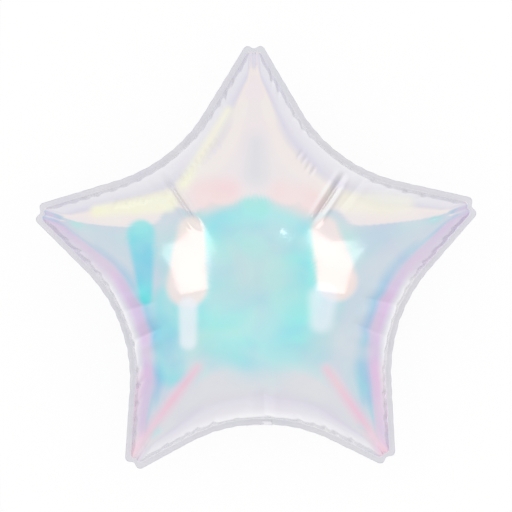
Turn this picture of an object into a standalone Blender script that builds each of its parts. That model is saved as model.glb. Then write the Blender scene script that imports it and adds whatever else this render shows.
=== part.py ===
# Star foil balloon: two film sheets sealed along a star outline and filled with gas.
# It lies on its back, with the front face up and one arm along +Y. Metres, +Z up.
# The origin is the middle of the small flat spot where the back face rests.

import math

import bmesh
import bpy
import numpy as np
from mathutils import Vector

# Plan of the filled star
ARM_REACH = 0.2306  # middle of the star to the end of an arm
CORNER_REACH = 0.1495  # middle to an inner corner
CORNER_RADIUS = 0.158  # round of an inner corner
TIP_WIDTH = 0.018  # blunt end of an arm
TIP_ROUND = 0.005
TIP_NOTCH = 0.0025  # dip between the two lobes of an arm's end

# A filled balloon's arms are never quite alike: right, top, left, lower left, lower right
ARM_DIRECTIONS = (18.3, 90.5, 163.2, 236.5, 306.1)  # degrees from +X
ARM_SHARES = (1.005, 1.015, 0.997, 0.979, 0.980)  # of the arm's reach
CORNER_SHARES = (1.013, 1.029, 0.972, 0.989, 1.013)  # of the reach to the corner after each arm
WIDEST_ROUND = 0.98  # part of the radius at which a corner's round would reach the arm's end
WIDEST_TIP_ROUND = 0.6  # part of the end's half width that its rounding may take

# Sealed margin
SEAM_WIDTH = 0.006
SEAM_THICKNESS = 0.0008
SEAM_WAVE = 0.0013  # how far the margin swings up and down at its puckers
PUCKER_PITCH = 0.016
PUCKER_RELIEF = 0.0011  # height of the gathers that run from the seam into the faces
PUCKER_DRAW = 0.0012  # how far each gather pulls the outline in
PUCKER_END = 0.74  # share of the way out at which the gathers have died away
PUCKER_UNEVENNESS = 0.28  # part of a gather's size that comes and goes along the seam
UNEVEN_TURNS = (1.9, 2.4, 1.1)  # radians of that change a step, a corner and a side

# Filled faces, both alike
CROWN_RISE = 0.083  # seam to the middle of a face
FULLNESS = 3.0  # power of the dome's profile, from the middle out
ARM_STEEPNESS = 1.04  # an arm runs down to its tip almost straight
CORNER_STEEPNESS = 0.58  # an inner corner drops to its seam like a bulging wall
CORNER_BREADTH = 1.2  # how soon the slope of an arm's side turns into a corner's wall
ARM_ROUNDING = 16.0  # degrees over which pressure rounds an arm's ridge, near the middle
REST_RADIUS = 0.028

# Creases in the faces, a pair at each inner corner
CREASE_SPREAD = 0.022  # from the corner's axis to a crease, measured along the seam
CREASE_WIDTH = 0.018
CREASE_LENGTH = 0.056
CREASE_DEPTH = 0.0055

# Filling neck, folded up against the back from the seam of one inner corner
NECK_CORNER = 3
NECK_WIDTH = 0.028
NECK_LENGTH = 0.066
NECK_THICKNESS = 0.0010
NECK_FOLD = 0.0016  # how far the fold stands out past the seam's edge
NECK_DROP = 0.0046  # seam to the point where the fold turns in towards the back face
NECK_ROOT = 0.002  # how deep the neck's solid runs into the body

# Fineness of the mesh
SAMPLES_PER_PUCKER = 4
ROUND_STEPS = 2
END_STEPS = 2
NECK_STEPS_ACROSS = 6
NECK_STEPS_ALONG = 12
NECK_MARCH = 0.0002  # step by which the neck's rows are paced out along the back face
SLOPE_STEP = 0.01  # share of the way out over which a face's slope is measured

# Rings of a face, from the seam in: share of the way out from the flat spot, and spacing
FACE_RINGS = (
    (1.0, 1), (0.972, 1), (0.92, 1),
    (0.85, 2), (0.76, 2), (0.65, 2), (0.52, 2),
    (0.38, 4), (0.24, 4), (0.12, 4), (0.0, 4),
)
COARSEST = max(spacing for share, spacing in FACE_RINGS)

FILM_COLOUR = (0.72, 0.86, 0.90, 1.0)
FILM_ROUGHNESS = 0.14
FILM_METALLIC = 0.55


def clear_scene():
    for item in list(bpy.data.objects):
        bpy.data.objects.remove(item, do_unlink=True)


def mix(first, second, share):
    return first + (second - first) * share


def ease(share):
    share = min(1.0, max(0.0, share))
    return share * share * (3.0 - 2.0 * share)


def film_material():
    material = bpy.data.materials.new("pearl film")
    material.use_nodes = True
    shader = material.node_tree.nodes["Principled BSDF"]
    shader.inputs["Base Color"].default_value = FILM_COLOUR
    shader.inputs["Roughness"].default_value = FILM_ROUGHNESS
    shader.inputs["Metallic"].default_value = FILM_METALLIC
    return material


class CornerLine:
    # One half of an inner corner's outline, from its middle to the axis of the arm beside it.
    # x runs across the corner's axis and y along it, away from the middle of the star.

    def __init__(self, half_angle, arm_reach, corner_reach, inset):
        self.half_angle = half_angle
        self.inset = inset
        self.arm = Vector((math.sin(half_angle), math.cos(half_angle)))
        self.across = Vector((-math.cos(half_angle), math.sin(half_angle)))
        tip_corner = self.arm * arm_reach + self.across * TIP_WIDTH / 2
        climb = tip_corner.y - corner_reach
        widest = (tip_corner.x ** 2 + climb ** 2) / (2.0 * climb)
        radius = min(CORNER_RADIUS, WIDEST_ROUND * widest)
        self.centre = Vector((0.0, corner_reach + radius))
        to_tip = tip_corner - self.centre
        self.turn = math.atan2(to_tip.x, -to_tip.y) - math.acos(radius / to_tip.length)
        self.radius = radius + inset
        self.flank = Vector((math.cos(self.turn), math.sin(self.turn)))
        self.flank_start = self.on_round(self.turn)
        self.end_reach = arm_reach - self.end_inset()
        self.find_tip_round()
        self.round_length = self.radius * self.turn
        self.length = self.round_length + (self.round_start - self.flank_start).length

    def on_round(self, angle):
        return self.centre + Vector((math.sin(angle), -math.cos(angle))) * self.radius

    def end_inset(self):
        # The filled part of a narrow tip stops short, where it still has some width
        lean = math.acos(self.flank.dot(self.arm))
        lost = TIP_ROUND / 2 + self.inset / math.cos(lean) - TIP_WIDTH / 2
        return max(self.inset, lost / math.tan(lean))

    def find_tip_round(self):
        run = (self.end_reach - self.flank_start.dot(self.arm)) / self.flank.dot(self.arm)
        corner = self.flank_start + self.flank * run
        half_width = corner.dot(self.across)
        lean = (self.turn + self.half_angle) / 2
        self.tip_round = min(TIP_ROUND, WIDEST_TIP_ROUND * half_width / math.tan(lean))
        back = self.tip_round * math.tan(lean)
        self.round_start = corner - self.flank * back
        self.round_centre = self.round_start + self.side_in() * self.tip_round
        self.end_half_width = half_width - back
        self.notch = TIP_NOTCH * min(1.0, 2.0 * half_width / TIP_WIDTH)

    def side_in(self):
        return Vector((math.sin(self.turn), -math.cos(self.turn)))

    def on_edge(self, distance):
        if distance < self.round_length:
            return self.on_round(distance / self.radius)
        return self.flank_start + self.flank * (distance - self.round_length)

    def points(self, edge_steps):
        line = [self.on_edge(self.length * step / edge_steps) for step in range(edge_steps + 1)]
        for step in range(1, ROUND_STEPS + 1):
            angle = mix(-self.turn, self.half_angle, step / ROUND_STEPS)
            outward = Vector((math.sin(angle), math.cos(angle)))
            line.append(self.round_centre + outward * self.tip_round)
        for step in range(1, END_STEPS + 1):
            share = step / END_STEPS
            reach = self.end_reach - self.notch * ease(share)
            line.append(self.arm * reach + self.across * self.end_half_width * (1.0 - share))
        return line


def corner_frame(corner):
    first = math.radians(ARM_DIRECTIONS[corner])
    second = math.radians(ARM_DIRECTIONS[(corner + 1) % len(ARM_DIRECTIONS)])
    if second < first:
        second += 2.0 * math.pi
    return (first + second) / 2, (second - first) / 2


def corner_axes(corner):
    angle = corner_frame(corner)[0]
    axis = Vector((math.cos(angle), math.sin(angle)))
    return axis, Vector((-axis.y, axis.x))


def corner_halves(corner, inset):
    half_angle = corner_frame(corner)[1]
    reach = CORNER_REACH * CORNER_SHARES[corner]
    arms = (corner, (corner + 1) % len(ARM_SHARES))
    return [CornerLine(half_angle, ARM_REACH * ARM_SHARES[arm], reach, inset) for arm in arms]


def count_edge_steps():
    # Enough steps for the puckers, made up so that the coarsest ring still falls on every axis
    corners = range(len(CORNER_SHARES))
    lengths = [half.length for corner in corners for half in corner_halves(corner, 0.0)]
    puckers = round(sum(lengths) / len(lengths) / PUCKER_PITCH)
    steps = SAMPLES_PER_PUCKER * puckers
    return steps + -(steps + ROUND_STEPS + END_STEPS) % COARSEST


def pucker_wave(corner, side, step, edge_steps, distance):
    # +1 on a gather's crest and -1 in its trough, dying out at the arm's end and at the neck
    if step >= edge_steps:
        return 0.0
    turns = zip(UNEVEN_TURNS, (step, corner, side))
    change = math.sin(sum(turn * count for turn, count in turns))
    strength = 1.0 - PUCKER_UNEVENNESS * (1.0 - change)
    fade = 1.0 - (step / edge_steps) ** 4
    if corner == NECK_CORNER:
        fade *= ease((distance - NECK_WIDTH / 2) / PUCKER_PITCH)
    return strength * fade * math.cos(2.0 * math.pi * step / SAMPLES_PER_PUCKER)


class SeamLine:
    # Reach of one half corner's seam at each angle from the arm's axis

    def __init__(self, half_angle, points):
        outward = points[::-1]
        self.angles = [half_angle - math.atan2(point.x, point.y) for point in outward]
        self.reaches = [point.length for point in outward]

    def reach(self, angle):
        return float(np.interp(angle, self.angles, self.reaches))


def seam_lines(edge_steps):
    lines = {}
    for corner in range(len(CORNER_SHARES)):
        half_angle = corner_frame(corner)[1]
        for side, half in enumerate(corner_halves(corner, SEAM_WIDTH)):
            lines[corner, side] = SeamLine(half_angle, half.points(edge_steps))
    return lines


class Sample:
    # One direction out from the middle: where it meets the edge and the seam, and its angle
    # from the axis of the arm beside it. It knows the seam on its own side of that arm and
    # on the other side.

    def __init__(self, edge, seam, wave, corner, own_line, other_line):
        pull = PUCKER_DRAW * (1.0 - wave) / 2 if wave else 0.0
        self.wave = wave
        self.edge = edge - edge.normalized() * pull
        self.seam = seam - seam.normalized() * pull
        self.direction = self.seam.normalized()
        self.reach = self.seam.length
        half_angle = corner_frame(corner)[1]
        off_axis = self.direction.angle(corner_axes(corner)[0])
        self.arm_angle = max(0.0, half_angle - off_axis)
        self.corner_share = self.arm_angle / half_angle
        self.lateral = self.reach * math.sin(off_axis)
        self.corner = corner
        self.own_line = own_line
        self.other_line = other_line

    def rounded_share(self, share):
        # The share as it would be beside the arm's axis, which turns its ridge into a round
        angle = math.hypot(self.arm_angle, math.radians(ARM_ROUNDING) * (1.0 - share))
        own = self.own_line.reach(angle)
        both = (own + self.other_line.reach(angle)) / 2
        beside = mix(both, own, ease(self.corner_share))
        return min(1.0, share * self.own_line.reach(self.arm_angle) / beside)


def star_samples():
    edge_steps = count_edge_steps()
    lines = seam_lines(edge_steps)
    corners = len(CORNER_SHARES)
    samples = []
    for corner in range(corners):
        axis, left = corner_axes(corner)
        edges = corner_halves(corner, 0.0)
        seams = corner_halves(corner, SEAM_WIDTH)
        for side, turn in ((0, -1.0), (1, 1.0)):
            across_arm = lines[(corner + 2 * side - 1) % corners, 1 - side]
            edge_points = edges[side].points(edge_steps)
            seam_points = seams[side].points(edge_steps)
            half = []
            for step, (edge, seam) in enumerate(zip(edge_points, seam_points)):
                distance = edges[side].length * step / edge_steps
                wave = pucker_wave(corner, side, step, edge_steps, distance)
                half.append(Sample(
                    axis * edge.y + left * turn * edge.x,
                    axis * seam.y + left * turn * seam.x,
                    wave, corner, lines[corner, side], across_arm,
                ))
            samples += list(reversed(half[1:])) if side == 0 else half[:-1]
    return samples


def crease_depth(sample, share, side):
    # A V-shaped fold that is deepest half way along and dies out at both ends
    start = 1.0 - CREASE_LENGTH / sample.reach
    along = (share - start) / (1.0 - start)
    under_neck = sample.corner == NECK_CORNER and side < 0
    if along <= 0.0 or along >= 1.0 or under_neck:
        return 0.0
    aside = abs(sample.lateral - CREASE_SPREAD) / (CREASE_WIDTH / 2)
    return CREASE_DEPTH * 4.0 * along * (1.0 - along) * max(0.0, 1.0 - aside)


def face_rise(sample, share, side):
    # Height of a face above its seam, at a share of the way out to the seam
    # side is +1 on the front and -1 on the back
    steepness = mix(ARM_STEEPNESS, CORNER_STEEPNESS, ease(CORNER_BREADTH * sample.corner_share))
    drop = sample.rounded_share(share) ** FULLNESS
    dome = CROWN_RISE * max(0.0, 1.0 - drop) ** steepness
    return dome - crease_depth(sample, share, side)


def seam_height(samples):
    highest = max(face_rise(sample, REST_RADIUS / sample.reach, -1) for sample in samples)
    return highest + SEAM_THICKNESS / 2


def face_point(sample, way_out, side, seam_level):
    radius = mix(REST_RADIUS, sample.reach, way_out)
    share = radius / sample.reach
    rise = face_rise(sample, share, side)
    inner = face_rise(sample, max(0.0, share - SLOPE_STEP), side)
    outer = face_rise(sample, min(1.0, share + SLOPE_STEP), side)
    outward = Vector((inner - outer, 2.0 * SLOPE_STEP * sample.reach)).normalized()
    strength = ease((way_out - PUCKER_END) / (1.0 - PUCKER_END))
    relief = PUCKER_RELIEF * sample.wave * strength if way_out < 1.0 else 0.0
    radius += relief * outward.x
    height = SEAM_THICKNESS / 2 + rise + relief * outward.y
    swing = SEAM_WAVE / 2 * sample.wave * strength
    flat = sample.direction * radius
    return Vector((flat.x, flat.y, seam_level + side * height + swing))


def stitch(mesh, outer, inner):
    # A band between two rings, the inner with as many points as the outer or half as many
    count = len(inner)
    ratio = len(outer) // count
    for index in range(count):
        after = (index + 1) % count
        start = index * ratio
        end = (start + ratio) % len(outer)
        if ratio == 1:
            mesh.faces.new((outer[start], outer[end], inner[after], inner[index]))
            continue
        middle = start + 1
        mesh.faces.new((outer[start], outer[middle], inner[index]))
        mesh.faces.new((outer[middle], inner[after], inner[index]))
        mesh.faces.new((outer[middle], outer[end], inner[after]))


def add_face(mesh, samples, seam_level, side):
    # One filled face from its edge in; returns the ring along the outer edge
    half_film = side * SEAM_THICKNESS / 2
    edge = [
        mesh.verts.new((s.edge.x, s.edge.y, seam_level + half_film + SEAM_WAVE * s.wave))
        for s in samples
    ]
    previous = edge
    for way_out, spacing in FACE_RINGS:
        points = [face_point(s, way_out, side, seam_level) for s in samples[::spacing]]
        if side < 0 and way_out == 0.0:
            for point in points:
                point.z = 0.0
        ring = [mesh.verts.new(point) for point in points]
        stitch(mesh, previous, ring)
        previous = ring
    top = seam_level + half_film + CROWN_RISE
    middle = mesh.verts.new((0.0, 0.0, top if side > 0 else 0.0))
    for index, vertex in enumerate(previous):
        mesh.faces.new((vertex, previous[(index + 1) % len(previous)], middle))
    return edge


def link_mesh(mesh, name):
    bmesh.ops.recalc_face_normals(mesh, faces=mesh.faces)
    data = bpy.data.meshes.new(name)
    mesh.to_mesh(data)
    mesh.free()
    item = bpy.data.objects.new(name, data)
    bpy.context.scene.collection.objects.link(item)
    return item


def add_balloon(samples, seam_level):
    mesh = bmesh.new()
    front = add_face(mesh, samples, seam_level, 1)
    back = add_face(mesh, samples, seam_level, -1)
    stitch(mesh, front, back)
    return link_mesh(mesh, "star_balloon")


class Neck:
    # A flat strip that leaves the seam, folds over its edge and lies along the back face

    def __init__(self, samples, seam_level):
        self.samples = [sample for sample in samples if sample.corner == NECK_CORNER]
        self.seam_level = seam_level
        self.axis, self.left = corner_axes(NECK_CORNER)
        self.edge_reach = CORNER_REACH * CORNER_SHARES[NECK_CORNER]
        self.start = self.edge_reach - SEAM_WIDTH - NECK_ROOT
        self.reaches = self.pace_out()

    def place(self, reach, across, drop):
        flat = self.axis * reach + self.left * across
        return Vector((flat.x, flat.y, self.seam_level - drop))

    def wall(self, reach, across):
        # The back face under the neck, at a reach along the corner's axis
        spot = self.axis * reach + self.left * across
        by_angle = sorted(self.samples, key=lambda sample: sample.direction.angle(spot))
        gaps = [sample.direction.angle(spot) for sample in by_angle[:2]]
        rises = [face_rise(s, min(1.0, spot.length / s.reach), -1) for s in by_angle[:2]]
        rise = mix(rises[0], rises[1], gaps[0] / sum(gaps))
        return self.place(reach, across, SEAM_THICKNESS / 2 + rise)

    def pace_out(self):
        # Reaches of the neck's rows, evenly spaced along the wall
        spacing = NECK_LENGTH / NECK_STEPS_ALONG
        reaches = [self.start]
        reach = self.start
        last = self.wall(reach, 0.0)
        while len(reaches) <= NECK_STEPS_ALONG and reach > REST_RADIUS:
            reach -= NECK_MARCH
            point = self.wall(reach, 0.0)
            if (point - last).length >= spacing:
                reaches.append(reach)
                last = point
        return reaches

    def row(self, across):
        # One section of the strip, from the seam along its outer side and back inside the body
        bow = CORNER_RADIUS - math.sqrt(CORNER_RADIUS ** 2 - across ** 2)
        edge = self.edge_reach + bow
        outer = [
            self.place(edge + NECK_FOLD / 2, across, -SEAM_THICKNESS / 2),
            self.place(edge + NECK_FOLD, across, NECK_FOLD),
            self.place(edge, across, NECK_DROP),
        ]
        inner = [
            self.place(self.start + bow, across, 0.0),
            self.place(self.start + bow, across, NECK_FOLD),
            self.place(self.start + bow, across, NECK_DROP),
        ]
        wall = [self.wall(reach + bow, across) for reach in self.reaches]
        across_way = Vector((self.left.x, self.left.y, 0.0))
        for step in range(1, len(wall)):
            run = wall[min(step + 1, len(wall) - 1)] - wall[step - 1]
            outward = run.cross(across_way).normalized()
            outer.append(wall[step] + outward * NECK_THICKNESS)
            inner.append(wall[step] - outward * NECK_ROOT)
        return outer + inner[::-1]


def add_neck(samples, seam_level):
    neck = Neck(samples, seam_level)
    shares = [index / NECK_STEPS_ACROSS - 0.5 for index in range(NECK_STEPS_ACROSS + 1)]
    mesh = bmesh.new()
    loops = [[mesh.verts.new(point) for point in neck.row(NECK_WIDTH * share)] for share in shares]
    for first, second in zip(loops, loops[1:]):
        stitch(mesh, first, second)
    mesh.faces.new(loops[0])
    mesh.faces.new(loops[-1])
    bmesh.ops.triangulate(mesh, faces=mesh.faces)
    cutter = link_mesh(mesh, "neck")
    cutter.hide_render = True
    cutter.display_type = "WIRE"
    return cutter


def join_neck(balloon, neck):
    union = balloon.modifiers.new("neck", "BOOLEAN")
    union.operation = "UNION"
    union.solver = "EXACT"
    union.object = neck


def main():
    clear_scene()
    samples = star_samples()
    seam_level = seam_height(samples)
    balloon = add_balloon(samples, seam_level)
    balloon.data.materials.append(film_material())
    balloon.data.shade_smooth()
    balloon.data.set_sharp_from_angle(angle=math.radians(40.0))
    join_neck(balloon, add_neck(samples, seam_level))


main()
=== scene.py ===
import math

import bpy
import numpy as np
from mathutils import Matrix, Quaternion, Vector


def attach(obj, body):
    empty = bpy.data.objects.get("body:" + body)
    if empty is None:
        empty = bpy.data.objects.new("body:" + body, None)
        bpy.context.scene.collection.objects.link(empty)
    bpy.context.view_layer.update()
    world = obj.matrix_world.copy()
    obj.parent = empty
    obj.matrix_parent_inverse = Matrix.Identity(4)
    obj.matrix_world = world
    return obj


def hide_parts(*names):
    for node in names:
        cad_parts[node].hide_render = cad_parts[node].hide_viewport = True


# Star foil balloon in pearl film, lying on its back, seen from straight above.
# Metres. +Y runs along the top arm, +Z out of the front face.

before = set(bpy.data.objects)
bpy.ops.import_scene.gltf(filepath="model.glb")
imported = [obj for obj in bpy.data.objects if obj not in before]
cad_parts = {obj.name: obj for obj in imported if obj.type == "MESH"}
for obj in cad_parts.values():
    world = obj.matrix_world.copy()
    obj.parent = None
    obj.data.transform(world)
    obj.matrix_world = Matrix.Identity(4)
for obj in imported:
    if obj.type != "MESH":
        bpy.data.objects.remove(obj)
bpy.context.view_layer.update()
bpy.ops.object.select_all(action="DESELECT")
print("frame loaded")


# Small helpers, used all over

def toLinear(hexColour):
    # sRGB hex to the linear numbers that the shaders work in
    parts = [int(hexColour[i:i + 2], 16) / 255 for i in (1, 3, 5)]
    return tuple(p / 12.92 if p <= 0.04045 else ((p + 0.055) / 1.055) ** 2.4 for p in parts)


def addNode(tree, kind, links=(), **settings):
    # one node: plain settings are properties, keys in "sockets" are input values
    node = tree.nodes.new(kind)
    sockets = settings.pop("sockets", {})
    for name, value in settings.items():
        setattr(node, name, value)
    for name, value in sockets.items():
        node.inputs[name].default_value = value
    for source, output, name in links:
        tree.links.new(source.outputs[output], node.inputs[name])
    return node


def smooth(value, low, high):
    share = np.clip((value - low) / (high - low), 0.0, 1.0)
    return share * share * (3.0 - 2.0 * share)


def blend(first, second, share):
    return first + (second - first) * share


# The star's outline, from the CAD part's own sizes

star = {
    "armDirections": (18.3, 90.5, 163.2, 236.5, 306.1),  # right, top, left, lower left, lower right
    "armReach": 0.2306,
    "armShares": (1.005, 1.015, 0.997, 0.979, 0.980),
    "cornerReach": 0.1495,
    "cornerShares": (1.013, 1.029, 0.972, 0.989, 1.013),
    "cornerRadius": 0.158,
    "tipWidth": 0.018,
    "tipRound": 0.005,
    "tipNotch": 0.0025,
    "seamWidth": 0.006,
    "seamHalf": 0.00022,  # half of the two sealed films
    "marginRings": ((0.12, 0.6), (0.45, 1.0), (0.82, 1.0), (1.0, 0.45)),  # way out, share of the thickness
    "crownRise": 0.083,
    "fullness": 3.0,
    "armSteepness": 1.04,
    "cornerSteepness": 0.58,
    "cornerBreadth": 1.2,
    "armRounding": 24.0,  # degrees to each side of the arm's axis, near the middle of the star
    "armTaper": 1.1,
    "armEnd": 5.0,  # degrees
    "ridgeFade": 0.06,  # the ridge's rounding ends in this last share of the way to the seam
    "seamBlend": 0.8,  # from this share of the way out, the face turns to follow the seam
    "restRadius": 0.028,
    "restFade": 0.010,  # the back's gathers fade out below this height
    "radiusLimit": 0.98,  # of the widest round that fits in an inner corner
    "roundLimit": 0.6,  # of the widest round that fits at an arm's end
    "edgeSteps": 90,  # mesh points from the middle of a corner to the tip of an arm
    "roundSteps": 3,
    "endSteps": 3,
    "seamFiner": 12,  # times as many steps, where the seam's reach is looked up by angle
    "frontRings": 58,
    "backRings": 26,
    "ringCrowding": 1.7,
}


def cornerFrame(corner):
    first = math.radians(star["armDirections"][corner])
    second = math.radians(star["armDirections"][(corner + 1) % 5])
    if second < first:
        second += 2.0 * math.pi
    return (first + second) / 2, (second - first) / 2


def halfOutline(halfAngle, armReach, cornerReach, inset, finer=1):
    # From the middle of an inner corner to the axis of the arm beside it: a round, a straight
    # flank, a rounded shoulder, and the notched end. x across the corner, y along it.
    arm = Vector((math.sin(halfAngle), math.cos(halfAngle)))
    across = Vector((-math.cos(halfAngle), math.sin(halfAngle)))
    tip = arm * armReach + across * star["tipWidth"] / 2
    climb = tip.y - cornerReach
    radius = min(star["cornerRadius"], star["radiusLimit"] * (tip.x ** 2 + climb ** 2) / (2.0 * climb))
    centre = Vector((0.0, cornerReach + radius))
    toTip = tip - centre
    turn = math.atan2(toTip.x, -toTip.y) - math.acos(radius / toTip.length)
    radius += inset
    flank = Vector((math.cos(turn), math.sin(turn)))
    flankStart = centre + Vector((math.sin(turn), -math.cos(turn))) * radius
    lean = math.acos(flank.dot(arm))
    lost = star["tipRound"] / 2 + inset / math.cos(lean) - star["tipWidth"] / 2
    endReach = armReach - max(inset, lost / math.tan(lean))
    shoulder = flankStart + flank * ((endReach - flankStart.dot(arm)) / flank.dot(arm))
    halfWidth = shoulder.dot(across)
    half = (turn + halfAngle) / 2
    tipRound = min(star["tipRound"], star["roundLimit"] * halfWidth / math.tan(half))
    roundStart = shoulder - flank * tipRound * math.tan(half)
    roundCentre = roundStart + Vector((math.sin(turn), -math.cos(turn))) * tipRound
    notch = star["tipNotch"] * min(1.0, 2.0 * halfWidth / star["tipWidth"])
    arcLength = radius * turn
    length = arcLength + (roundStart - flankStart).length
    edgeSteps, roundSteps, endSteps = (finer * star[key] for key in ("edgeSteps", "roundSteps", "endSteps"))
    line = []
    for step in range(edgeSteps + 1):
        distance = length * step / edgeSteps
        if distance < arcLength:
            angle = distance / radius
            line.append(centre + Vector((math.sin(angle), -math.cos(angle))) * radius)
        else:
            line.append(flankStart + flank * (distance - arcLength))
    for step in range(1, roundSteps + 1):
        angle = -turn + (halfAngle + turn) * step / roundSteps
        line.append(roundCentre + Vector((math.sin(angle), math.cos(angle))) * tipRound)
    endHalf = halfWidth - tipRound * math.tan(half)
    for step in range(1, endSteps + 1):
        share = step / endSteps
        dip = notch * share * share * (3.0 - 2.0 * share)
        line.append(arm * (endReach - dip) + across * endHalf * (1.0 - share))
    return np.array([tuple(point) for point in line]), length


def traceStar():
    # Points all round the star, counter-clockwise, with what each one needs to know
    parts = {key: [] for key in ("edge", "seam", "corner", "along", "length", "armAngle", "halfAngle")}
    lines = {}
    for corner in range(5):
        axisAngle, halfAngle = cornerFrame(corner)
        axis = np.array((math.cos(axisAngle), math.sin(axisAngle)))
        left = np.array((-axis[1], axis[0]))
        reach = star["cornerReach"] * star["cornerShares"][corner]
        for side, turn in ((0, -1.0), (1, 1.0)):
            armReach = star["armReach"] * star["armShares"][(corner + side) % 5]
            edge, length = halfOutline(halfAngle, armReach, reach, 0.0)
            seam = halfOutline(halfAngle, armReach, reach, star["seamWidth"])[0]
            angles = halfAngle - np.arctan2(seam[:, 0], seam[:, 1])
            fine = halfOutline(halfAngle, armReach, reach, star["seamWidth"], star["seamFiner"])[0][::-1]
            lines[corner, side] = (halfAngle - np.arctan2(fine[:, 0], fine[:, 1]), np.hypot(*fine.T))
            steps = np.minimum(np.arange(len(edge)), star["edgeSteps"]) / star["edgeSteps"]
            order = slice(None, 0, -1) if side == 0 else slice(0, -1)
            parts["edge"].append((edge[:, 1:] * axis + edge[:, :1] * left * turn)[order])
            parts["seam"].append((seam[:, 1:] * axis + seam[:, :1] * left * turn)[order])
            parts["corner"].append(np.full(len(edge), 2 * corner + side)[order])
            parts["along"].append((steps * length * turn)[order])
            parts["length"].append(np.full(len(edge), length)[order])
            parts["armAngle"].append(np.maximum(0.0, angles)[order])
            parts["halfAngle"].append(np.full(len(edge), halfAngle)[order])
    return {key: np.concatenate(value) for key, value in parts.items()}, lines


outline, seamLines = traceStar()
around = len(outline["edge"])
seamReach = np.hypot(*outline["seam"].T)
seamWay = outline["seam"] / seamReach[:, None]
print("outline traced,", around, "points round the star")


# The filled faces

def faceRise(share):
    # Height over the seam for every point round the star at these shares of the way out
    rise = np.empty((len(share), around))
    start = math.radians(star["armEnd"])
    for half, (angles, reaches) in enumerate(seamLines.values()):
        corner, side = divmod(half, 2)
        other = seamLines[(corner + 2 * side - 1) % 5, 1 - side]
        mine = outline["corner"] == half
        armAngle = outline["armAngle"][mine]
        part = share[:, mine]
        radius = part * np.interp(armAngle, angles, reaches)
        # the ridge is rounded over a wide angle near the middle and a narrow one near the tip
        limit = np.interp(np.hypot(armAngle, start), angles, reaches)
        limit = limit * reaches[0] / np.interp(start, angles, reaches)
        spread = np.maximum(0.0, 1.0 - radius / limit) ** star["armTaper"]
        spread = spread * smooth(1.0 - part, 0.0, star["ridgeFade"])
        angle = np.hypot(armAngle, math.radians(star["armRounding"]) * spread)
        own = np.interp(angle, angles, reaches)
        both = (own + np.interp(angle, *other)) / 2
        cornerShare = armAngle / outline["halfAngle"][mine]
        beside = blend(both, own, smooth(cornerShare, 0.0, 1.0))
        # close to the seam the face follows it exactly
        rounded = blend(np.minimum(1.0, radius / beside), part, smooth(part, star["seamBlend"], 1.0))
        steepness = blend(star["armSteepness"], star["cornerSteepness"],
                          smooth(star["cornerBreadth"] * cornerShare, 0.0, 1.0))
        dome = np.maximum(0.0, 1.0 - rounded ** star["fullness"])
        rise[:, mine] = star["crownRise"] * dome ** steepness
    return rise


def ringShares(side):
    # Rings crowd towards the seam, where a face turns steep
    steps = np.linspace(0.0, 1.0, star["frontRings" if side > 0 else "backRings"] + 1)[1:]
    return 1.0 - (1.0 - steps) ** star["ringCrowding"]


def facePoints(side):
    # Grid of one face from the middle out to the seam, flat where the balloon rests
    shares = ringShares(side)
    share = np.repeat(shares[:, None], around, axis=1)
    rise = faceRise(share)
    flat = seamWay[None] * (share * seamReach)[..., None]
    height = star["seamLevel"] + side * (star["seamHalf"] + rise)
    if side < 0:
        height = np.maximum(height, 0.0)
    return np.concatenate((flat, height[..., None]), axis=2)


# the balloon rests on its back, flattened over the rest spot, and that gives the seam's height
restRise = faceRise((star["restRadius"] / seamReach)[None]).max()
star["seamLevel"] = restRise + star["seamHalf"]
print("seam at", round(star["seamLevel"], 4), "m")


# Puckers: the sealed edge is longer than the filled balloon needs, so it gathers

puckers = {
    "seed": 11,
    "pitch": 0.0150,
    "unevenPitch": 0.28,
    "depth": (0.0009, 0.0023),
    "length": (0.012, 0.040),
    "width": 0.0027,
    "widen": 0.045,  # how much a gather widens for each metre that it runs into the face
    "lean": 0.22,
    "fall": 1.6,  # how soon a gather flattens out on its way in
    "seamDepth": 0.35,  # share of its depth that a gather has right at the seam
    "fullDepthAt": 0.004,
    "draw": 0.0010,  # how far a gather pulls the sealed margin in
    "drawWidth": 0.0040,
    "drawReach": 0.012,
    "swing": 0.0004,  # how far the margin swings up or down between gathers
    "swingWidth": 0.0065,
    "swingGrowth": 0.8,  # how much more the outer edge swings than the seam
    "leastSwing": 0.3,
    "firstPlace": (0.4, 0.9),  # in pitches from the tip
    "lastGap": 0.3,
    "tipFade": 4,  # power by which gathers fade towards the tips
    "tipLength": 0.45,  # share of its length that a gather has at a tip
}


def layPuckers():
    rng = np.random.default_rng(puckers["seed"])
    gathers = []
    for corner in range(5):
        ends = [outline["length"][outline["corner"] == 2 * corner + side][0] for side in (0, 1)]
        place = -ends[0] + puckers["pitch"] * rng.uniform(*puckers["firstPlace"])
        while place < ends[1] - puckers["lastGap"] * puckers["pitch"]:
            fade = 1.0 - abs(place / ends[place > 0]) ** puckers["tipFade"]
            way = 1 if len(gathers) % 2 else -1
            gathers.append({
                "corner": corner,
                "place": place,
                "depth": rng.uniform(*puckers["depth"]) * fade,
                "length": rng.uniform(*puckers["length"]) * blend(puckers["tipLength"], 1.0, fade),
                "lean": rng.uniform(-1, 1) * puckers["lean"],
                "swing": puckers["swing"] * way * rng.uniform(puckers["leastSwing"], 1.0) * fade,
            })
            place += puckers["pitch"] * (1.0 + rng.uniform(-1, 1) * puckers["unevenPitch"])
    return gathers


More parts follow.
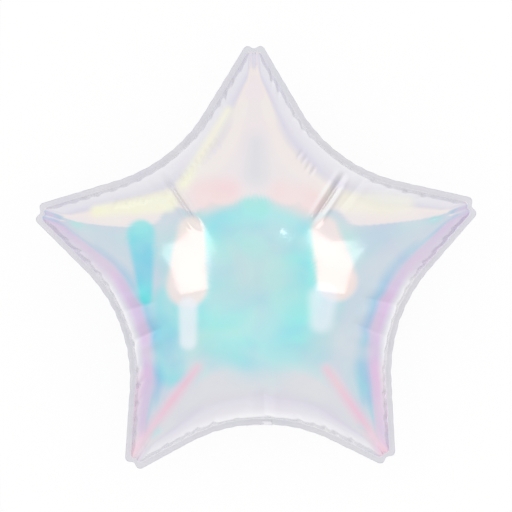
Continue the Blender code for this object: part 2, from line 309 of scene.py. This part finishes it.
def puckerDips(depthIn, gathers):
    # How deep each point lies in a gather, by its distance in from the seam
    dips = np.zeros(depthIn.shape)
    for gather in gathers:
        mine = outline["corner"] // 2 == gather["corner"]
        inside = depthIn[:, mine]
        aside = outline["along"][mine][None] - gather["place"] - gather["lean"] * inside
        width = puckers["width"] + puckers["widen"] * inside
        fall = np.clip(1.0 - inside / gather["length"], 0.0, 1.0) ** puckers["fall"]
        rise = blend(puckers["seamDepth"], 1.0, smooth(inside, 0.0, puckers["fullDepthAt"]))
        dips[:, mine] += gather["depth"] * fall * rise * np.exp(-(aside / width) ** 2)
    return dips


def seamWaves(gathers):
    # The sealed margin is drawn in at each gather and swings up and down between them
    pull = np.zeros(around)
    swing = np.zeros(around)
    for gather in gathers:
        mine = outline["corner"] // 2 == gather["corner"]
        aside = outline["along"][mine] - gather["place"]
        draw = puckers["draw"] * gather["depth"] / puckers["depth"][1]
        pull[mine] += draw * np.exp(-(aside / puckers["drawWidth"]) ** 2)
        swing[mine] += gather["swing"] * np.exp(-(aside / puckers["swingWidth"]) ** 2)
    return pull, swing


# Creases at the inner corners, where the film folds over on itself

creases = [
    # each one: its corner, how far it lies aside of the corner's axis at its outer and inner end,
    # its reach from the middle at both, its depth and its width
    {"corner": 1, "aside": (0.0120, 0.0150), "reach": (0.139, 0.073), "depth": 0.0044, "width": 0.0028},
    {"corner": 1, "aside": (0.0290, 0.0250), "reach": (0.148, 0.102), "depth": 0.0006, "width": 0.0034},
    {"corner": 0, "aside": (-0.0110, -0.0135), "reach": (0.138, 0.078), "depth": 0.0044, "width": 0.0028},
    {"corner": 0, "aside": (-0.0300, -0.0270), "reach": (0.148, 0.100), "depth": 0.0006, "width": 0.0034},
    {"corner": 2, "aside": (0.0170, 0.0140), "reach": (0.140, 0.104), "depth": 0.0016, "width": 0.0055},
    {"corner": 2, "aside": (-0.0140, -0.0120), "reach": (0.140, 0.100), "depth": 0.0012, "width": 0.0055},
    {"corner": 4, "aside": (0.0180, 0.0150), "reach": (0.147, 0.108), "depth": 0.0016, "width": 0.0055},
    {"corner": 4, "aside": (-0.0160, -0.0120), "reach": (0.147, 0.104), "depth": 0.0013, "width": 0.0055},
    {"corner": 3, "aside": (0.0060, 0.0050), "reach": (0.145, 0.108), "depth": 0.0010, "width": 0.0055},
]
creaseForm = {
    "endFade": 0.8,
    "roundness": 0.02,
    "steepness": 1.7,
    "ridge": 0.35,  # height of the ridges beside a fold, as a share of its depth
    "ridgeAside": 2.1,  # in widths of the fold
    "ridgeWidth": 0.9,
}


def creaseDips(points):
    dips = np.zeros(points.shape[:2])
    for crease in creases:
        axisAngle = cornerFrame(crease["corner"])[0]
        axis = np.array((math.cos(axisAngle), math.sin(axisAngle)))
        left = np.array((-axis[1], axis[0]))
        reach = points[..., :2] @ axis
        aside = points[..., :2] @ left
        outer, inner = crease["reach"]
        run = (outer - reach) / (outer - inner)
        middle = blend(crease["aside"][0], crease["aside"][1], run)
        off = (aside - middle) / crease["width"]
        deep = np.clip(4.0 * run * (1.0 - run), 0.0, 1.0) ** creaseForm["endFade"]
        valley = np.exp(-np.sqrt(off ** 2 + creaseForm["roundness"]) * creaseForm["steepness"])
        beside = (np.abs(off) - creaseForm["ridgeAside"]) / creaseForm["ridgeWidth"]
        ridge = creaseForm["ridge"] * np.exp(-beside ** 2)
        dips += crease["depth"] * deep * (valley - ridge)
    return dips


# Rows of short gathers on the upper flanks of the front, side by side like stitches

shortGathers = {
    "seed": 21,
    "depth": 0.0012,
    "depthShares": (0.6, 1.0),
    "width": 0.0014,
    "halfLength": 0.0055,
    "uneven": 0.0012,
    # each row: first and last place, how many, and which way they run
    "rows": (
        {"first": (-0.140, 0.0735), "last": (-0.088, 0.0815), "count": 10, "way": (0.42, 0.91)},
        {"first": (-0.072, 0.0980), "last": (-0.038, 0.1340), "count": 8, "way": (-0.55, 0.84)},
        {"first": (0.044, 0.1240), "last": (0.056, 0.1060), "count": 4, "way": (0.60, 0.80)},
    ),
}


def shortDips(points):
    rng = np.random.default_rng(shortGathers["seed"])
    dips = np.zeros(points.shape[:2])
    for row in shortGathers["rows"]:
        way = np.array(row["way"])
        for step in range(row["count"]):
            place = blend(np.array(row["first"]), np.array(row["last"]), step / (row["count"] - 1))
            place = place + way * rng.uniform(-1, 1) * shortGathers["uneven"]
            off = points[..., :2] - place
            along = off @ way
            aside = off @ np.array((-way[1], way[0]))
            deep = np.clip(1.0 - (along / shortGathers["halfLength"]) ** 2, 0.0, 1.0)
            depth = shortGathers["depth"] * rng.uniform(*shortGathers["depthShares"])
            dips += depth * deep * np.exp(-(aside / shortGathers["width"]) ** 2)
    return dips


# One closed mesh: front face, sealed margin, back face

def normalsOf(grid):
    # Surface directions of a grid of points, front side up
    alongRing = np.roll(grid, -1, axis=1) - np.roll(grid, 1, axis=1)
    outward = np.gradient(grid, axis=0)
    normals = np.cross(outward, alongRing)
    length = np.linalg.norm(normals, axis=2, keepdims=True)
    return normals / np.maximum(length, 1e-12)


def shapeFace(side, gathers, pull, swing):
    grid = facePoints(side)
    smoothNormals = normalsOf(grid) * side
    steps = np.linalg.norm(np.diff(grid, axis=0), axis=2)
    fromSeam = np.vstack((np.cumsum(steps[::-1], axis=0)[::-1], np.zeros((1, around))))
    dips = puckerDips(fromSeam, gathers) + creaseDips(grid)
    if side > 0:
        dips += shortDips(grid)
    dips[-1] = 0.0
    shift = smoothNormals * -dips[..., None]
    if side < 0:
        # the crown of the back stays flat on what it rests on
        shift *= smooth(grid[..., 2], 0.0, star["restFade"])[..., None]
    near = np.clip(1.0 - fromSeam / puckers["drawReach"], 0.0, 1.0) ** 2
    grid = grid + shift
    grid[..., :2] -= seamWay[None] * (pull[None] * near)[..., None]
    grid[..., 2] += swing[None] * near
    return grid, smoothNormals


def buildBalloon():
    gathers = layPuckers()
    pull, swing = seamWaves(gathers)
    front, frontSmooth = shapeFace(1, gathers, pull, swing)
    back, backSmooth = shapeFace(-1, gathers, pull, swing)
    drawn = seamWay * pull[:, None]
    margin = []
    for share, lift in star["marginRings"]:
        flat = blend(outline["seam"], outline["edge"], share) - drawn
        wave = swing * (1.0 + puckers["swingGrowth"] * share)
        margin.append((flat, wave, lift * star["seamHalf"]))
    rings = [front[i] for i in range(len(front))]
    for flat, wave, lift in margin:
        rings.append(np.column_stack((flat, star["seamLevel"] + wave + lift)))
    for flat, wave, lift in reversed(margin):
        rings.append(np.column_stack((flat, star["seamLevel"] + wave - lift)))
    rings += [back[i] for i in reversed(range(len(back)))]
    top = (0.0, 0.0, star["seamLevel"] + star["seamHalf"] + star["crownRise"])
    points = np.vstack([top] + rings + [(0.0, 0.0, 0.0)])
    faces = [(0, 1 + i, 1 + (i + 1) % around) for i in range(around)]
    for ring in range(len(rings) - 1):
        start = 1 + ring * around
        faces += [
            (start + i, start + around + i, start + around + (i + 1) % around, start + (i + 1) % around)
            for i in range(around)
        ]
    last = len(points) - 1
    start = last - around
    faces += [(last, start + (i + 1) % around, start + i) for i in range(around)]
    mesh = bpy.data.meshes.new("balloon")
    mesh.from_pydata(points.tolist(), [], faces)
    mesh.update()
    balloon = bpy.data.objects.new("balloon", mesh)
    bpy.context.scene.collection.objects.link(balloon)
    mesh.shade_smooth()
    # the sealed margin is marked, because it lies flat and shows no colours of its own
    onMargin = np.zeros(len(points))
    onMargin[1 + len(front) * around:1 + (len(front) + 2 * len(margin)) * around] = 1.0
    mesh.attributes.new("onMargin", "FLOAT", "POINT").data.foreach_set("value", onMargin)
    middle = np.array(((0.0, 0.0, 1.0),))
    margins = [frontSmooth[-1]] * len(margin) + [backSmooth[-1]] * len(margin)
    smoothNormals = np.vstack([middle] + list(frontSmooth) + margins + list(backSmooth[::-1]) + [-middle])
    return balloon, points, smoothNormals


balloon, points, smoothNormals = buildBalloon()
print("balloon built,", len(balloon.data.polygons), "faces")


# Pearl film

film = {
    "aqua": "#C0E5E8",
    "brightAqua": "#A8EFF0",
    "deepAqua": "#88E4EE",
    "ice": "#D2E0EA",
    "sky": "#B4D8EA",
    "salmon": "#FBE3E4",
    "mist": "#E2E4EA",
    "haze": "#F4EDEF",
    "warm": "#F7F0EE",
    "lemon": "#FDFBE2",
    "lilac": "#DFDDE9",
    "violet": "#D6CAE2",
    "orchid": "#DBC8E6",
    "pearl": "#E8E7EE",
    "silver": "#F6F6FA",
    "rose": "#F5CFE0",
    "pressed": "#E1E2E8",
    # the next three are painted reflections: the soft boxes' stands, the glow round their patches, and
    # glints on creases
    "paintedStandReflection": "#F0F8FF",
    "paintedBoxGlow": "#FDEAE7",
    "paintedCreaseGlint": "#F6F5FA",
    # tilt of the film in degrees, and its colour there: its iridescent reflection colours as they show from
    # straight above, painted in; the first and the last list also hold painted reflections of the room
    # above and of the floor below
    "reflectedAbove": ((0, "aqua"), (14, "haze"), (28, "haze"), (34, "warm"),
                 (40, "warm"), (47, "lilac"), (56, "pearl"), (90, "silver")),
    "sides": ((0, "aqua"), (12, "brightAqua"), (20, "aqua"), (27, "ice"), (36, "ice"), (43, "sky"),
              (49, "violet"), (56, "orchid"), (63, "lilac"), (72, "silver"), (90, "silver")),
    "below": ((0, "aqua"), (18, "brightAqua"), (27, "mist"), (36, "mist"), (46, "lilac"),
              (58, "pearl"), (68, "silver"), (90, "silver")),
    # where the painted reflections of the room above, and then of the floor below, begin, and where they
    # are full
    "reflectedAboveEdge": (0.506, 0.554),  # how far towards +Y the film mirrors
    "reflectedAboveFrom": (0.0, 0.03),
    "topArmFrom": (0.088, 0.110),
    "flankTilt": (40.0, 52.0),
    "flankFrom": (0.055, 0.075),
    "flankWay": (-0.1, 0.1),
    "reflectedBelowWay": (0.20, 0.42),
    "reflectedBelowFrom": (0.050, 0.085),
    "formShare": 0.6,  # how much of the tilt comes from the form, the rest from gathers and creases
    # painted light and shade on gathers and creases: how strong, up to what turn, and from which way the
    # painted light comes
    "paintedGatherShade": 0.45,
    "gatherLimit": 0.6,
    "paintedLightWay": (-0.55, 0.80, 0.25),  # direction of the painted light: gathers and creases turned towards it are painted paler
    "brightest": 0.97,
    "metallic": 0.55,
    "ior": 1.5,
    "roughness": (0.09, 0.17),
    "marginRoughness": 0.35,
    "saturation": (0.80, 1.22),
    "hue": (0.485, 0.525),  # 0.5 leaves it as it is
    # millimetres across, for each pattern
    "cloudSize": 62.5,
    "patchSize": 35.71,
    "hazeSize": 18.18,
    "rippleSize": 16.67,
    "rippleStrength": 0.25,
    "rippleHeight": 0.0004,
}

# Streaks painted on the film: bands of its iridescent reflection colours as seen from straight above, and
# painted reflections of the soft boxes with painted glints on two creases. Each: its colour, where it
# starts and ends, its half width at both, how soft its edge is, and its strength
streaks = [
    {"colour": "deepAqua", "start": (-0.114, 0.044), "end": (-0.109, -0.020),
     "half": (0.013, 0.005), "soft": 0.004, "strength": 0.85},
    {"colour": "deepAqua", "start": (-0.086, -0.024), "end": (-0.084, -0.092),
     "half": (0.014, 0.013), "soft": 0.010, "strength": 0.55},
    {"colour": "lemon", "start": (-0.160, 0.067), "end": (-0.088, 0.076),
     "half": (0.004, 0.009), "soft": 0.006, "strength": 0.9},
    {"colour": "lemon", "start": (-0.072, 0.094), "end": (-0.028, 0.168),
     "half": (0.004, 0.002), "soft": 0.007, "strength": 0.75},
    {"colour": "lemon", "start": (0.092, 0.076), "end": (0.150, 0.074),
     "half": (0.009, 0.006), "soft": 0.008, "strength": 0.5},
    {"colour": "rose", "start": (-0.126, -0.178), "end": (-0.058, -0.088),
     "half": (0.0025, 0.0015), "soft": 0.009, "strength": 0.95},
    {"colour": "rose", "start": (0.130, -0.176), "end": (0.070, -0.090),
     "half": (0.0025, 0.0015), "soft": 0.009, "strength": 0.95},
    {"colour": "rose", "start": (-0.130, -0.150), "end": (-0.112, -0.100),
     "half": (0.003, 0.002), "soft": 0.014, "strength": 0.5},
    {"colour": "rose", "start": (0.134, -0.150), "end": (0.122, -0.090),
     "half": (0.003, 0.002), "soft": 0.014, "strength": 0.3},
    {"colour": "violet", "start": (-0.108, -0.104), "end": (-0.114, -0.150),
     "half": (0.004, 0.002), "soft": 0.010, "strength": 0.7},
    {"colour": "violet", "start": (-0.200, 0.052), "end": (-0.150, 0.010),
     "half": (0.003, 0.004), "soft": 0.012, "strength": 0.8},
    {"colour": "violet", "start": (0.214, 0.062), "end": (0.160, 0.010),
     "half": (0.006, 0.004), "soft": 0.012, "strength": 0.8},
    {"colour": "mist", "start": (0.0, 0.134), "end": (0.0, 0.104),
     "half": (0.004, 0.008), "soft": 0.016, "strength": 0.85},
    {"colour": "salmon", "start": (-0.050, 0.082), "end": (-0.028, 0.086),
     "half": (0.012, 0.010), "soft": 0.012, "strength": 0.9},
    {"colour": "salmon", "start": (0.052, 0.076), "end": (0.026, 0.084),
     "half": (0.012, 0.009), "soft": 0.012, "strength": 0.8},
    # painted pink glow round the two soft boxes' reflections
    {"colour": "paintedBoxGlow", "start": (-0.064, 0.048), "end": (-0.068, -0.008),
     "half": (0.012, 0.019), "soft": 0.005, "strength": 0.85},
    {"colour": "paintedBoxGlow", "start": (0.068, 0.048), "end": (0.080, -0.002),
     "half": (0.012, 0.019), "soft": 0.005, "strength": 0.85},
    # painted white glints along the two deep creases at the top
    {"colour": "paintedCreaseGlint", "start": (-0.083, 0.089), "end": (-0.067, 0.066),
     "half": (0.0012, 0.0012), "soft": 0.002, "strength": 0.6},
    {"colour": "paintedCreaseGlint", "start": (0.087, 0.090), "end": (0.067, 0.064),
     "half": (0.0012, 0.0012), "soft": 0.002, "strength": 0.6},
    # painted white reflections of the soft boxes' stands, under their patches
    {"colour": "paintedStandReflection", "start": (-0.067, -0.028), "end": (-0.067, -0.062),
     "half": (0.008, 0.007), "soft": 0.005, "strength": 0.8},
    {"colour": "paintedStandReflection", "start": (0.066, -0.020), "end": (0.064, -0.042),
     "half": (0.012, 0.009), "soft": 0.008, "strength": 0.7},
    {"colour": "brightAqua", "start": (0.000, -0.060), "end": (0.004, -0.060),
     "half": (0.030, 0.030), "soft": 0.030, "strength": 0.6},
]


def filmRamp(name, tilt):
    stops = film[name]
    degrees = [stop[0] for stop in stops]
    colours = np.array([toLinear(film[stop[1]]) for stop in stops])
    return np.column_stack([np.interp(tilt, degrees, colours[:, i]) for i in range(3)])


def streakMask(streak, x, y):
    start = np.array(streak["start"])
    run = np.array(streak["end"]) - start
    part = np.clip(((x - start[0]) * run[0] + (y - start[1]) * run[1]) / (run @ run), 0.0, 1.0)
    off = np.hypot(x - start[0] - part * run[0], y - start[1] - part * run[1])
    half = blend(streak["half"][0], streak["half"][1], part)
    return streak["strength"] * (1.0 - smooth(off, half - streak["soft"] / 2, half + streak["soft"]))


def paintFilm(item, places, formNormals):
    # The film's colour is painted by how steeply it lies: its iridescent reflection colours, as the layers
    # in it are seen more or less edge on from straight above, with painted reflections of the room above
    # and of the floor below. It is kept on the mesh and follows the surface
    mesh = item.data
    normals = np.empty(len(mesh.vertices) * 3)
    mesh.vertices.foreach_get("normal", normals)
    normals = normals.reshape(-1, 3)
    mixed = film["formShare"] * formNormals + (1.0 - film["formShare"]) * normals
    mixed /= np.linalg.norm(mixed, axis=1)[:, None]
    tilt = np.degrees(np.arccos(np.clip(np.abs(mixed[:, 2]), 0.0, 1.0)))
    mirrored = 2.0 * np.abs(formNormals[:, 2]) * formNormals[:, 1]
    x, y = places[:, 0], places[:, 1]
    # painted reflection of the room above: where the film mirrors far up, on the top arm, and on steep
    # upper flanks
    reflectedAbove = smooth(mirrored, *film["reflectedAboveEdge"]) * smooth(y, *film["reflectedAboveFrom"])
    reflectedAbove = np.maximum(reflectedAbove, smooth(y, *film["topArmFrom"]))
    flank = smooth(tilt, *film["flankTilt"]) * smooth(y, *film["flankFrom"])
    reflectedAbove = np.maximum(reflectedAbove, flank * smooth(formNormals[:, 1], *film["flankWay"]))
    # painted reflection of the floor below, on the lower flanks and legs
    below = smooth(-formNormals[:, 1], *film["reflectedBelowWay"]) * smooth(-y, *film["reflectedBelowFrom"])
    # iridescent reflection colours by tilt, as seen from straight above, painted in
    colour = filmRamp("sides", tilt)
    colour = blend(colour, filmRamp("reflectedAbove", tilt), reflectedAbove[:, None])
    colour = blend(colour, filmRamp("below", tilt), below[:, None])
    for streak in streaks:
        mask = streakMask(streak, x, y)[:, None]
        colour = blend(colour, np.array(toLinear(film[streak["colour"]])), mask)
    # painted light and shade: gathers and creases are painted paler where they turn towards the painted
    # light, darker where they turn away
    turned = (normals - formNormals) @ np.array(film["paintedLightWay"])
    onMargin = np.empty(len(mesh.vertices))
    mesh.attributes["onMargin"].data.foreach_get("value", onMargin)
    shade = film["paintedGatherShade"] * np.clip(turned, -film["gatherLimit"], film["gatherLimit"])
    shade = shade * (1.0 - onMargin)
    colour = np.clip(colour * (1.0 + shade[:, None]), 0.0, film["brightest"])
    colour = blend(colour, np.array(toLinear(film["pressed"])), onMargin[:, None])
    values = np.column_stack((colour, np.ones(len(colour))))
    layer = mesh.color_attributes.new("filmColour", "FLOAT_COLOR", "POINT")
    layer.data.foreach_set("color", values.ravel())
    print("film painted, tilt", tilt.min().round(1), "to", tilt.max().round(1))


paintFilm(balloon, points, smoothNormals)


# Filling neck: a flat tube of the same film, folded up against the back face

neck = {
    "corner": 3,
    "width": 0.028,
    "length": 0.062,
    "fold": 0.0006,  # how far the bend stands out past the sealed edge
    "drop": 0.0042,  # how far below the seam the tube meets the back face
    "clear": 0.0006,  # from the back face to the middle of the tube
    "film": 0.0005,  # both walls, drawn thicker than the real film
    "foldPath": ((0.0, 0.0), (1.0, 0.3), (0.6, 0.8)),  # shares of the fold and of the drop, round the bend
    "inside": 0.004,  # how far in from the sealed edge it starts
    "innerReach": 0.06,
    "pathStep": 0.0005,
    "waist": 0.10,  # share of its width that is drawn in at the seam
    "waistReach": 0.010,
    "pleats": 0.0002,
    "pleatPitch": 0.0093,
    "plainRows": 3,  # rows without pleats, next to the seam
    "dullness": 0.5,
    "rows": 30,
    "columns": 12,
}


def backLevel(spots):
    # Height of the back face under each of these places, between the nearest two columns
    levels = []
    angles = np.unwrap(np.arctan2(seamWay[:, 1], seamWay[:, 0]))
    for x, y in spots:
        reach = math.hypot(x, y)
        turn = (math.atan2(y, x) - angles[0]) % (2.0 * math.pi) + angles[0]
        after = min(int(np.searchsorted(angles, turn)), around - 1)
        pair = [after - 1, after]
        share = np.minimum(1.0, reach / seamReach)[None]
        rise = faceRise(share)[0][pair]
        part = (turn - angles[pair[0]]) / (angles[pair[1]] - angles[pair[0]])
        levels.append(star["seamLevel"] - star["seamHalf"] - blend(rise[0], rise[1], part))
    return np.array(levels)


def buildNeck():
    axisAngle = cornerFrame(neck["corner"])[0]
    axis = np.array((math.cos(axisAngle), math.sin(axisAngle)))
    left = np.array((-axis[1], axis[0]))
    edge = star["cornerReach"] * star["cornerShares"][neck["corner"]]
    level = star["seamLevel"]
    # path down the middle: out of the seam, round the fold, and along the wall of the back face
    reaches = np.arange(edge - star["seamWidth"], neck["innerReach"], -neck["pathStep"])
    heights = backLevel(axis[None] * reaches[:, None])
    wall = np.column_stack((reaches, heights))
    run = np.gradient(wall, axis=0)
    off = np.column_stack((-run[:, 1], run[:, 0]))
    off /= np.linalg.norm(off, axis=1)[:, None]
    wall = wall + off * neck["clear"]
    wall = wall[wall[:, 1] < level - neck["drop"]]
    start = [(edge - neck["inside"], level)]
    start += [(edge + out * neck["fold"], level - down * neck["drop"]) for out, down in neck["foldPath"]]
    path = np.vstack((start, wall))
    gone = np.concatenate(([0.0], np.cumsum(np.linalg.norm(np.diff(path, axis=0), axis=1))))
    rows = np.linspace(0.0, neck["length"], neck["rows"] + 1)
    line = np.column_stack((np.interp(rows, gone, path[:, 0]), np.interp(rows, gone, path[:, 1])))
    bpy.ops.object.select_all(action="DESELECT")
    bpy.ops.mesh.primitive_grid_add(x_subdivisions=neck["columns"], y_subdivisions=neck["rows"], size=1.0)
    item = bpy.context.active_object
    item.name = "fillingNeck"
    for vertex in item.data.vertices:
        row = int(round((vertex.co.y + 0.5) * neck["rows"]))
        drawn = neck["waist"] * math.exp(-rows[row] / neck["waistReach"])
        across = vertex.co.x * neck["width"] * (1.0 - drawn)
        bow = star["cornerRadius"] - math.sqrt(star["cornerRadius"] ** 2 - across ** 2)
        reach, height = line[row]
        ripple = neck["pleats"] * math.cos(across * 2.0 * math.pi / neck["pleatPitch"])
        ripple = ripple * (row > neck["plainRows"])
        flat = axis * (reach + bow) + left * across
        vertex.co = (flat[0] - axis[0] * ripple, flat[1] - axis[1] * ripple, height - ripple)
    thicken = item.modifiers.new("film", "SOLIDIFY")
    thicken.thickness = neck["film"]
    thicken.offset = 0.0
    bpy.ops.object.modifier_apply(modifier="film")
    bpy.ops.object.mode_set(mode="EDIT")
    bpy.ops.mesh.select_all(action="SELECT")
    bpy.ops.mesh.normals_make_consistent(inside=False)
    bpy.ops.object.mode_set(mode="OBJECT")
    item.data.shade_smooth()
    colour = np.array((*toLinear(film["silver"]), 1.0))
    count = len(item.data.vertices)
    layer = item.data.color_attributes.new("filmColour", "FLOAT_COLOR", "POINT")
    layer.data.foreach_set("color", np.tile(colour, count))
    layer = item.data.attributes.new("onMargin", "FLOAT", "POINT")
    layer.data.foreach_set("value", np.full(count, neck["dullness"]))
    return item


fillingNeck = buildNeck()
print("neck folded up")


def noiseScale(millimetres):
    # the scale at which a noise texture's largest lumps are this far apart
    return 1000.0 / millimetres


def pearlFilm():
    # Nylon film, vacuum-coated and laminated with a pearl layer: mirror-smooth, so it shows
    # soft boxes sharply, with pastel colours that change as it slopes away
    material = bpy.data.materials.new("pearlFilm")
    material.use_nodes = True
    tree = material.node_tree
    shader = tree.nodes["Principled BSDF"]
    shader.inputs["Metallic"].default_value = film["metallic"]
    shader.inputs["IOR"].default_value = film["ior"]
    place = addNode(tree, "ShaderNodeTexCoord")
    # the film's colour as painted on the mesh, with its painted reflections and painted light and shade
    tint = addNode(tree, "ShaderNodeAttribute", attribute_name="filmColour")
    # clouds in the pearl layer, about 60 mm across
    clouds = addNode(tree, "ShaderNodeTexNoise", [(place, "Object", "Vector")],
                     sockets={"Scale": noiseScale(film["cloudSize"]), "Detail": 2.0, "Roughness": 0.45,
                              "Distortion": 0.4})
    shift = addNode(tree, "ShaderNodeMapRange", [(clouds, "Fac", "Value")],
                    sockets={"From Min": 0.35, "From Max": 0.65, "To Min": film["saturation"][0],
                             "To Max": film["saturation"][1]})
    paler = addNode(tree, "ShaderNodeHueSaturation",
                    [(tint, "Color", "Color"), (shift, "Result", "Saturation")])
    # patches where the layer leans to green or to rose, about 36 mm across
    patches = addNode(tree, "ShaderNodeTexNoise", [(place, "Object", "Vector")],
                      sockets={"Scale": noiseScale(film["patchSize"]), "Detail": 1.0, "Roughness": 0.4,
                               "Distortion": 0.6})
    lean = addNode(tree, "ShaderNodeMapRange", [(patches, "Fac", "Value")],
                   sockets={"From Min": 0.3, "From Max": 0.7, "To Min": film["hue"][0],
                            "To Max": film["hue"][1]})
    turned = addNode(tree, "ShaderNodeHueSaturation", [(paler, "Color", "Color"), (lean, "Result", "Hue")])
    tree.links.new(turned.outputs["Color"], shader.inputs["Base Color"])
    # handling haze, 18 mm across, with finer lumps of 2 mm and up in it
    haze = addNode(tree, "ShaderNodeTexNoise", [(place, "Object", "Vector")],
                   sockets={"Scale": noiseScale(film["hazeSize"]), "Detail": 3.0, "Roughness": 0.5})
    gloss = addNode(tree, "ShaderNodeMapRange", [(haze, "Fac", "Value")],
                    sockets={"From Min": 0.3, "From Max": 0.7, "To Min": film["roughness"][0],
                             "To Max": film["roughness"][1]})
    # the sealed margin is heat-pressed, so it is duller
    margin = addNode(tree, "ShaderNodeAttribute", attribute_name="onMargin")
    duller = addNode(tree, "ShaderNodeMath", [(margin, "Fac", 0), (gloss, "Result", 2)],
                     operation="MULTIPLY_ADD", sockets={1: film["marginRoughness"]})
    tree.links.new(duller.outputs["Value"], shader.inputs["Roughness"])
    # the film's own faint unevenness, 17 mm across, with finer lumps of 4 mm and up in it
    ripple = addNode(tree, "ShaderNodeTexNoise", [(place, "Object", "Vector")],
                     sockets={"Scale": noiseScale(film["rippleSize"]), "Detail": 2.0, "Roughness": 0.5})
    bump = addNode(tree, "ShaderNodeBump", [(ripple, "Fac", "Height")],
                   sockets={"Strength": film["rippleStrength"], "Distance": film["rippleHeight"]})
    tree.links.new(bump.outputs["Normal"], shader.inputs["Normal"])
    return material


filmMaterial = pearlFilm()
balloon.data.materials.append(filmMaterial)
fillingNeck.data.materials.append(filmMaterial)
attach(fillingNeck, "root")
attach(balloon, "root")
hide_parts("star_balloon")
print("pearl film laid on both pieces")


# Floor, light and camera

studio = {
    "floorColour": "#F4F4F4",
    "floorRoughness": 0.6,
    "floorSize": 6.0,
    "floorGlow": 1.02,  # strength of the floor's own white, for the camera and in mirrored rays
    "floorGlowShare": 0.88,  # the rest is the floor's paint, with the balloon's shadow on it
    "worldLevel": 0.92,
    "lampColour": "#FFE2DD",
    "lampDistance": 1.5,
    "lampTarget": (0.0, 0.0, 0.1),
    # way: x and y of the direction from the target to the lamp
    "lamps": (
        {"name": "softBoxLeft", "way": (-0.48, 0.08), "size": (0.62, 0.60), "roll": 24.0, "power": 0.7},
        {"name": "softBoxRight", "way": (0.57, 0.07), "size": (0.58, 0.62), "roll": -15.0, "power": 0.7},
        {"name": "smallLamp", "way": (0.15, 0.25), "size": (0.05, 0.04), "roll": 0.0, "power": 0.03},
    ),
}


def buildFloor():
    bpy.ops.mesh.primitive_plane_add(size=studio["floorSize"], location=(0.0, 0.0, 0.0))
    floor = bpy.context.active_object
    floor.name = "floor"
    material = bpy.data.materials.new("paintedFloor")
    material.use_nodes = True
    tree = material.node_tree
    shader = tree.nodes["Principled BSDF"]
    shader.inputs["Base Color"].default_value = (*toLinear(studio["floorColour"]), 1.0)
    shader.inputs["Roughness"].default_value = studio["floorRoughness"]
    output = tree.nodes["Material Output"]
    glow = addNode(tree, "ShaderNodeEmission",
                   sockets={"Color": (1, 1, 1, 1), "Strength": studio["floorGlow"]})
    rays = addNode(tree, "ShaderNodeLightPath")
    looked = addNode(tree, "ShaderNodeMath", [(rays, "Is Camera Ray", 0), (rays, "Is Glossy Ray", 1)],
                     operation="MAXIMUM")
    seen = addNode(tree, "ShaderNodeMath", [(looked, "Value", 0)],
                   operation="MULTIPLY", sockets={1: studio["floorGlowShare"]})
    mixed = addNode(tree, "ShaderNodeMixShader",
                    [(seen, "Value", "Fac"), (shader, "BSDF", 1), (glow, "Emission", 2)])
    tree.links.new(mixed.outputs["Shader"], output.inputs["Surface"])
    floor.data.materials.append(material)


def buildWorld():
    world = bpy.data.worlds.new("studio")
    bpy.context.scene.world = world
    world.use_nodes = True
    tree = world.node_tree
    background = tree.nodes["Background"]
    rays = addNode(tree, "ShaderNodeLightPath")
    level = addNode(tree, "ShaderNodeMapRange", [(rays, "Is Camera Ray", "Value")],
                    sockets={"To Min": studio["worldLevel"], "To Max": 1.0})
    background.inputs["Color"].default_value = (1, 1, 1, 1)
    tree.links.new(level.outputs["Result"], background.inputs["Strength"])


def addLamp(lamp):
    # A soft box aimed at the balloon, placed by its direction from there
    light = bpy.data.lights.new(lamp["name"], "AREA")
    light.shape = "RECTANGLE"
    light.size, light.size_y = lamp["size"]
    light.energy = lamp["power"]
    light.color = toLinear(studio["lampColour"])
    item = bpy.data.objects.new(lamp["name"], light)
    bpy.context.scene.collection.objects.link(item)
    wayX, wayY = lamp["way"]
    way = Vector((wayX, wayY, math.sqrt(1.0 - wayX ** 2 - wayY ** 2)))
    item.location = way * studio["lampDistance"] + Vector(studio["lampTarget"])
    item.rotation_mode = "QUATERNION"
    roll = Quaternion((0.0, 0.0, 1.0), math.radians(lamp["roll"]))
    item.rotation_quaternion = way.to_track_quat("Z", "Y") @ roll


buildFloor()
buildWorld()
for lamp in studio["lamps"]:
    addLamp(lamp)

camera = {
    "distance": 3.2,
    "millimetresPerPixel": 1.009,
    "starPixel": (256.0, 278.0),  # where the star's middle lies in the picture
    "framePixels": 512,
    "sensorWidth": 36.0,
}


def addCamera():
    data = bpy.data.cameras.new("camera")
    item = bpy.data.objects.new("camera", data)
    bpy.context.scene.collection.objects.link(item)
    width = camera["framePixels"] * camera["millimetresPerPixel"] / 1000
    data.sensor_width = camera["sensorWidth"]
    data.lens = camera["sensorWidth"] * camera["distance"] / width
    column, row = camera["starPixel"]
    middle = camera["framePixels"] / 2
    item.location = (
        (middle - column) * camera["millimetresPerPixel"] / 1000,
        (row - middle) * camera["millimetresPerPixel"] / 1000,
        star["seamLevel"] + camera["distance"],
    )
    bpy.context.scene.camera = item


addCamera()
bpy.context.scene.view_settings.view_transform = "Standard"
print("studio set")
